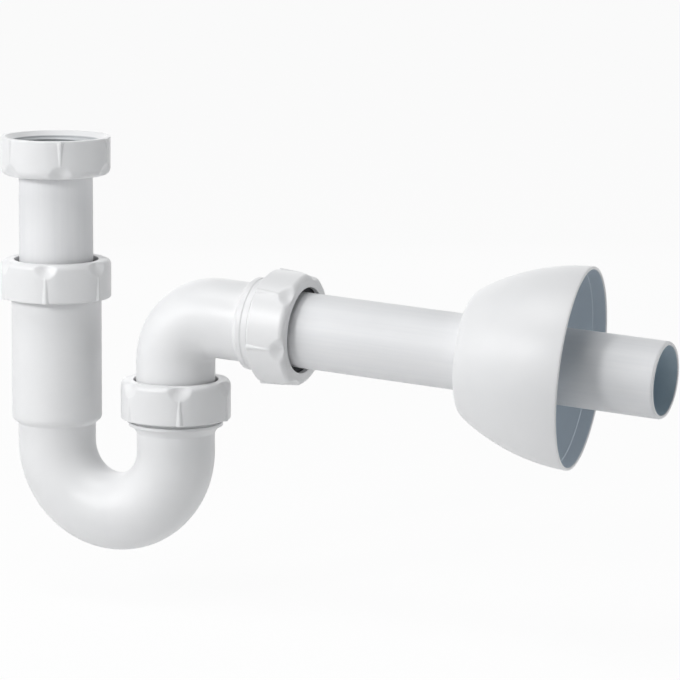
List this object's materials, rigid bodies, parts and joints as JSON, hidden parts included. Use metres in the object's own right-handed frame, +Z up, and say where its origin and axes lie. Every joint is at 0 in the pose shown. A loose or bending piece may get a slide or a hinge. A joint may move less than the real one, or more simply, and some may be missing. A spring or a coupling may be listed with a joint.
{
  "type": "tubular trap",
  "caption": "White plastic tubular P-trap: telescopic flanged inlet with union nut, U-bend, swivel elbow, compression nuts, straight wall outlet pipe and a bell-shaped wall flange.",
  "frame": {"origin": "on the inlet axis, at the sealing face where the basin waste's tail meets the washer inside the inlet nut", "axes": "+Z up along the inlet axis, the way the basin waste leaves; +X towards the wall outlet, in the plane of the U-bend"},
  "size_m": [0.3826, 0.1055, 0.2239],
  "materials": {
    "trap_plastic": "glossy white moulded plastic",
    "nut_plastic": "glossy white moulded plastic",
    "pipe_plastic": "satin white extruded plastic",
    "flange_plastic": "glossy white thin moulded plastic",
    "seal_rubber": "matt black rubber"
  },
  "bodies": {
    "inlet_nut": {"inlet_nut": "nut_plastic"},
    "tail": {"inlet_tailpipe": "pipe_plastic", "inlet_washer": "seal_rubber"},
    "trap": {"trap_bend": "trap_plastic"},
    "riser_seal": {"riser_seal": "seal_rubber"},
    "riser_nut": {"riser_nut": "nut_plastic"},
    "bend_seal": {"bend_seal": "seal_rubber"},
    "bend_nut": {"bend_nut": "nut_plastic"},
    "elbow": {"outlet_elbow": "trap_plastic"},
    "elbow_seal": {"elbow_seal": "seal_rubber"},
    "elbow_nut": {"elbow_nut": "nut_plastic"},
    "outlet_pipe": {"outlet_pipe": "pipe_plastic"},
    "wall_flange": {"wall_flange": "flange_plastic"}
  },
  "joints": [
    {"name": "inlet_swivel", "type": "hinge", "parent": "inlet_nut", "child": "tail", "pos_m": [0, 0, 0], "axis": [0, 0, 1], "continuous": true},
    {"name": "height_adjust", "type": "slide", "parent": "tail", "child": "trap", "axis": [0, 0, 1], "range_m": [-0.028, 0.032]},
    {"name": "riser_seal_draw", "type": "slide", "parent": "trap", "child": "riser_seal", "axis": [0, 0, 1], "range_m": [0, 0.009]},
    {"name": "riser_nut_turn", "type": "hinge", "parent": "riser_seal", "child": "riser_nut", "pos_m": [0, 0, 0], "axis": [0, 0, 1], "range_deg": [0, 1080]},
    {"name": "elbow_swivel", "type": "hinge", "parent": "trap", "child": "elbow", "pos_m": [0.0725, 0, 0], "axis": [0, 0, 1], "range_deg": [-110, 110]},
    {"name": "bend_seal_draw", "type": "slide", "parent": "trap", "child": "bend_seal", "axis": [0, 0, 1], "range_m": [0, 0.009]},
    {"name": "bend_nut_turn", "type": "hinge", "parent": "bend_seal", "child": "bend_nut", "pos_m": [0.0725, 0, 0], "axis": [0, 0, 1], "range_deg": [0, 1080]},
    {"name": "elbow_seal_draw", "type": "slide", "parent": "elbow", "child": "elbow_seal", "axis": [0.9984, 0, -0.0562], "range_m": [0, 0.009]},
    {"name": "elbow_nut_turn", "type": "hinge", "parent": "elbow_seal", "child": "elbow_nut", "pos_m": [0.0725, 0, -0.07915], "axis": [0.9984, 0, -0.0562], "range_deg": [0, 1080]},
    {"name": "outlet_adjust", "type": "slide", "parent": "elbow", "child": "outlet_pipe", "axis": [0.9984, 0, -0.0562], "range_m": [-0.002, 0.01]},
    {"name": "flange_slide", "type": "slide", "parent": "outlet_pipe", "child": "wall_flange", "axis": [0.9984, 0, -0.0562], "range_m": [-0.072, 0.045]}
  ],
  "couplings": [
    {"joint": "riser_seal_draw", "follows": "riser_nut_turn", "m_per_rad": 0.00047746},
    {"joint": "bend_seal_draw", "follows": "bend_nut_turn", "m_per_rad": 0.00047746},
    {"joint": "elbow_seal_draw", "follows": "elbow_nut_turn", "m_per_rad": 0.00047746}
  ]
}
